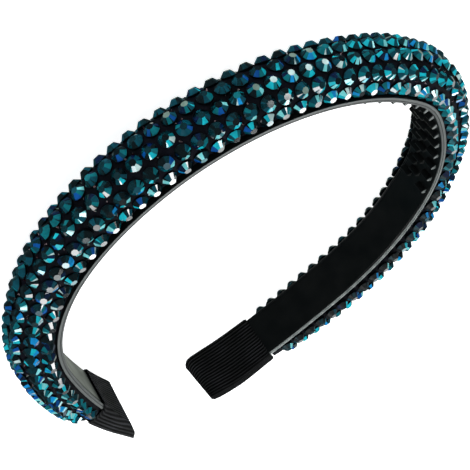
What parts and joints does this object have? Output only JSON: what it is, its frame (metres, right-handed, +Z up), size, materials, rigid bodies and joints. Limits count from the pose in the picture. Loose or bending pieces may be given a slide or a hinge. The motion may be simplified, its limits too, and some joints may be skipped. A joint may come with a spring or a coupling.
{
  "type": "padded headband",
  "caption": "C-shaped padded headband covered with faceted stones, with comb ridges inside its crown and a ribbon-wrapped tip at each end.",
  "frame": {"origin": "centre of the outline, on the level surface that the headband lies on", "axes": "+X from one arm to the other, +Y from the open end to the crown, +Z up, across the band, as it lies on its side"},
  "size_m": [0.1463, 0.1464, 0.0195],
  "materials": {
    "plastic": "satin moulded black",
    "cover_fabric": "smooth woven, near black with a navy cast",
    "stones": "cut and polished, teal to blue, foil backed",
    "ribbon": "black ribbed ribbon"
  },
  "bodies": {
    "root": {"hoop": "plastic", "padded_cover": "cover_fabric", "crystal_field": "stones", "ribbon_left": "ribbon", "ribbon_right": "ribbon"}
  },
  "joints": []
}
